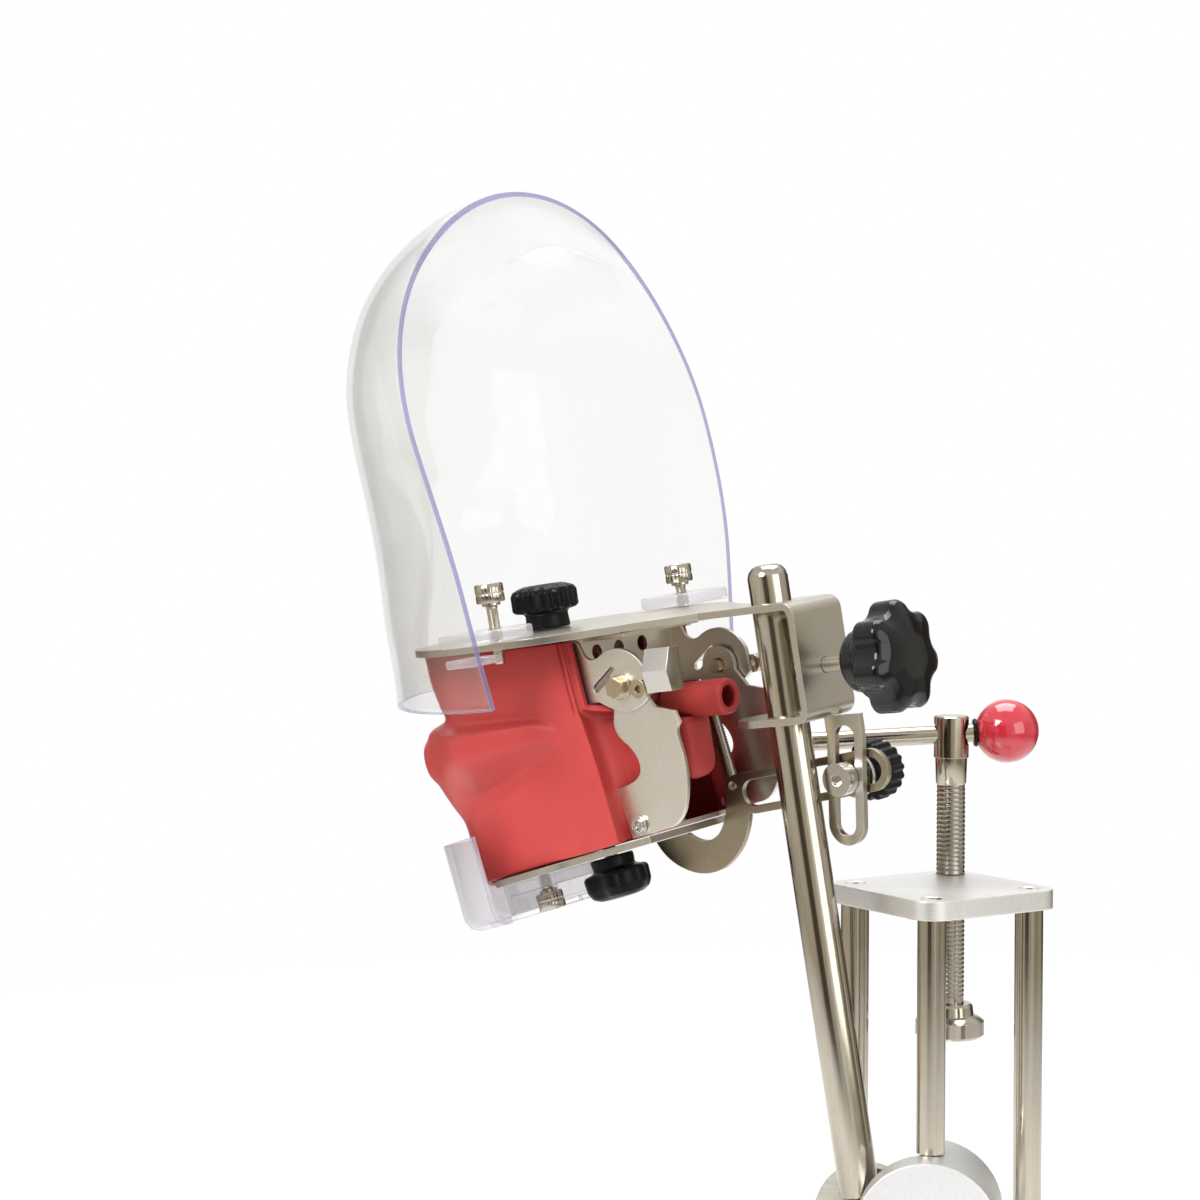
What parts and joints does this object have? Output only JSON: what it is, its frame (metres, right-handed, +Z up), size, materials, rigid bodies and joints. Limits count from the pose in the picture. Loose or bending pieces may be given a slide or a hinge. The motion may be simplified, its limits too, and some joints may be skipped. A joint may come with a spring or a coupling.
{
  "type": "dental phantom head articulator",
  "caption": "Bench-clamp dental training head: hinged jaw articulator in a soft cheek bag under a clear face mask, on a tilting pole.",
  "frame": {"origin": "centre line of the clamp spindle at the level of the raised land on the bench seat plate", "axes": "+Z up along the clamp spindle; +X along the bench edge, away from the face; +Y in over the bench. The face looks towards -X and a little +Y."},
  "size_m": [0.3028, 0.1875, 0.4764],
  "materials": {
    "silver": "satin",
    "steel": "satin",
    "polished": "polished",
    "nickel": "satin",
    "brass": "satin",
    "bronze": "satin",
    "black": "gloss",
    "ball": "gloss",
    "silicone": "satin",
    "clear": "gloss",
    "gum": "satin",
    "tooth": "gloss"
  },
  "bodies": {
    "clamp": {"clamp_top_plate": "silver", "bench_seat_plate": "silver", "column_near": "polished", "column_left": "polished", "column_right": "polished", "column_screw_near": "steel", "column_screw_left": "steel", "column_screw_right": "steel", "tilt_housing": "silver", "tilt_pivot_bolt": "steel", "tilt_pivot_nut": "steel"},
    "foot": {"clamp_foot": "steel"},
    "spindle": {"clamp_spindle": "polished"},
    "tommy_bar": {"tommy_bar": "polished", "bar_ball": "ball", "bar_end_cap": "black"},
    "hub": {"tilt_hub": "steel"},
    "pole": {"pole": "polished"},
    "head": {"head_bracket": "steel", "slotted_link": "steel", "face_mask": "clear", "upper_frame": "nickel", "condyle_bolt_near": "brass", "condyle_bolt_far": "brass", "spring_keeper_near": "nickel", "spring_keeper_far": "nickel", "keeper_collar_near": "brass", "keeper_collar_far": "brass", "upper_gum": "gum", "upper_teeth": "tooth", "cheek_bag": "silicone", "drain_tube": "silicone", "throat_piece": "silicone"},
    "jaw": {"jaw_plate": "steel", "hook_plate": "bronze", "lower_side_plate_near": "nickel", "lower_side_plate_far": "nickel", "lower_cross_bracket": "nickel", "jaw_screw_near": "steel", "jaw_screw_far": "steel", "chin_strip": "clear", "spring_rod_near": "polished", "spring_rod_far": "polished", "lower_gum": "gum", "lower_teeth": "tooth"},
    "lock": {"lock_bolt": "polished", "lock_washer": "steel"},
    "lock_knob": {"lock_knob": "black"},
    "star_knob": {"bracket_clamp_screw": "steel", "star_knob": "black"},
    "upper_knob": {"upper_knob": "black", "upper_knob_screw": "steel"},
    "lower_knob": {"lower_knob": "black", "lower_knob_screw": "steel"},
    "mask_screw_near": {"mask_screw_near": "steel"},
    "mask_screw_far": {"mask_screw_far": "steel"},
    "chin_screw": {"chin_screw": "steel"}
  },
  "joints": [
    {"name": "clamp_travel", "type": "slide", "parent": "clamp", "child": "foot", "axis": [0, 0, -1], "range_m": [0, 0.038], "stiffness_N_per_m": 2000, "springref_m": -0.00107},
    {"name": "clamp_screw_turn", "type": "hinge", "parent": "foot", "child": "spindle", "pos_m": [0, 0, 0.17], "axis": [0, 0, -1], "range_deg": [0, 6841]},
    {"name": "tommy_bar_slide", "type": "slide", "parent": "spindle", "child": "tommy_bar", "axis": [0.9799, 0.1905, 0.0593], "range_m": [0, 0.052]},
    {"name": "pole_tilt", "type": "hinge", "parent": "clamp", "child": "hub", "pos_m": [-0.0279, -0.068, 0.0331], "axis": [0.0698, -0.9976, 0], "range_deg": [-1, 35], "stiffness_Nm_per_rad": 60, "springref_deg": -2.16},
    {"name": "head_swivel", "type": "hinge", "parent": "hub", "child": "pole", "pos_m": [-0.0279, -0.068, 0.0331], "axis": [-0.1509, -0.0106, 0.9885], "range_deg": [-1, 45], "stiffness_Nm_per_rad": 30, "springref_deg": -0.26},
    {"name": "head_height", "type": "slide", "parent": "pole", "child": "head", "axis": [-0.1509, -0.0106, 0.9885], "range_m": [-0.016, 0.008], "stiffness_N_per_m": 6000, "springref_m": 0.00287},
    {"name": "jaw_open", "type": "hinge", "parent": "head", "child": "jaw", "pos_m": [-0.11389, -0.04458, 0.25998], "axis": [-0.4481, -0.8906, -0.0779], "range_deg": [-10, 12], "stiffness_Nm_per_rad": 8, "springref_deg": -0.91, "deforming": ["cheek_bag"]},
    {"name": "jaw_lock_travel", "type": "slide", "parent": "head", "child": "lock", "axis": [-0.0183, -0.078, 0.9968], "range_m": [-0.0125, 0.015]},
    {"name": "lock_knob_turn", "type": "hinge", "parent": "lock", "child": "lock_knob", "pos_m": [-0.04133, -0.07756, 0.21962], "axis": [-0.4481, -0.8906, -0.0779], "continuous": true},
    {"name": "star_knob_turn", "type": "hinge", "parent": "head", "child": "star_knob", "pos_m": [-0.02811, -0.08867, 0.27058], "axis": [-0.8812, 0.4547, -0.1297], "continuous": true},
    {"name": "upper_knob_turn", "type": "hinge", "parent": "head", "child": "upper_knob", "pos_m": [-0.17597, -0.01485, 0.27713], "axis": [-0.1509, -0.0106, 0.9885], "continuous": true},
    {"name": "lower_knob_turn", "type": "hinge", "parent": "jaw", "child": "lower_knob", "pos_m": [-0.14658, -0.02101, 0.17851], "axis": [-0.3016, 0.0686, 0.951], "continuous": true},
    {"name": "mask_screw_near_turn", "type": "hinge", "parent": "head", "child": "mask_screw_near", "pos_m": [-0.18174, -0.08367, 0.27551], "axis": [-0.1509, -0.0106, 0.9885], "continuous": true},
    {"name": "mask_screw_far_turn", "type": "hinge", "parent": "head", "child": "mask_screw_far", "pos_m": [-0.12438, 0.03033, 0.28548], "axis": [-0.1509, -0.0106, 0.9885], "continuous": true},
    {"name": "chin_screw_turn", "type": "hinge", "parent": "jaw", "child": "chin_screw", "pos_m": [-0.18151, -0.00235, 0.16609], "axis": [-0.3016, 0.0686, 0.951], "continuous": true}
  ],
  "couplings": [
    {"joint": "clamp_screw_turn", "follows": "clamp_travel", "rad_per_m": 3141.6},
    {"joint": "jaw_lock_travel", "follows": "jaw_open", "m_per_rad": 0.0701}
  ]
}
